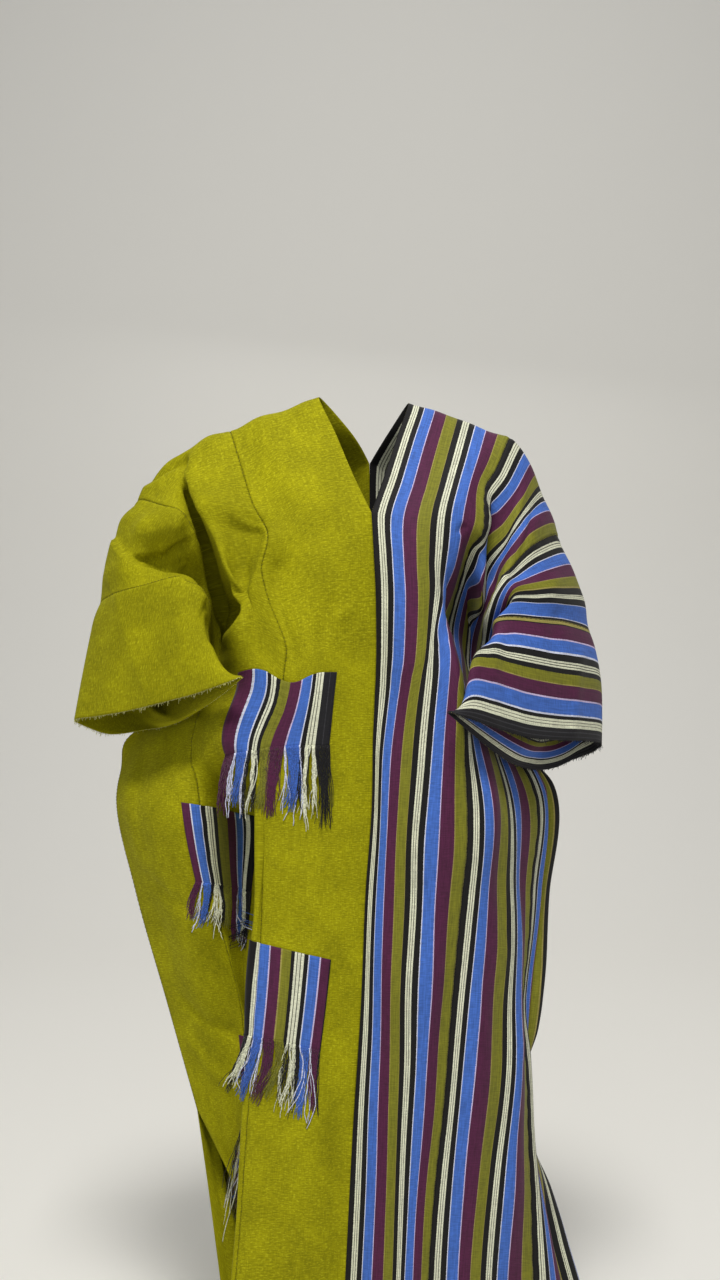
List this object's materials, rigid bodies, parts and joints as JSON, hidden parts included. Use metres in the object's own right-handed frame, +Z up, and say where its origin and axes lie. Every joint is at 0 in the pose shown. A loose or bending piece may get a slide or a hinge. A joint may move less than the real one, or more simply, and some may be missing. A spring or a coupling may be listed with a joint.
{
  "type": "grand boubou robe",
  "caption": "Wide hand-woven robe hanging as worn, one half plain and one half striped, with open sleeves, a V neck, side slits and fringed patches.",
  "frame": {"origin": "between the high points of the shoulders beside the neck, where the wearer carries the robe", "axes": "+Z up, the front faces -Y, +X towards the wearer's left, the striped half"},
  "size_m": [0.7933, 0.3573, 1.462],
  "materials": {
    "plain_cotton": "slubby hand-woven cotton, dull olive yellow, faint sheen",
    "striped_cotton": "hand-woven cotton with warp stripes in blue, plum, olive, black and cream",
    "patch_cotton": "the striped cotton cut as appliqued patches",
    "fringe_threads": "loose warp threads in the patch's stripe colours"
  },
  "bodies": {
    "root": {"plain_centre_strip_front": "plain_cotton", "plain_centre_strip_back": "plain_cotton", "plain_side_strip_front": "plain_cotton", "plain_side_strip_back": "plain_cotton", "plain_outer_strip_front": "plain_cotton", "plain_outer_strip_back_upper": "plain_cotton", "plain_outer_strip_back_lower": "plain_cotton", "plain_cuff_strip_front": "plain_cotton", "plain_cuff_strip_back": "plain_cotton", "striped_centre_strip_front": "striped_cotton", "striped_centre_strip_back": "striped_cotton", "striped_side_strip_front": "striped_cotton", "striped_side_strip_back": "striped_cotton", "striped_outer_strip_front": "striped_cotton", "striped_outer_strip_back_upper": "striped_cotton", "striped_outer_strip_back_lower": "striped_cotton", "striped_cuff_strip_front": "striped_cotton", "striped_cuff_strip_back": "striped_cotton", "patch_1": "patch_cotton", "patch_1_fringe": "fringe_threads", "patch_2": "patch_cotton", "patch_2_fringe": "fringe_threads", "patch_3": "patch_cotton", "patch_3_fringe": "fringe_threads", "patch_4": "patch_cotton", "patch_4_fringe": "fringe_threads"}
  },
  "joints": []
}
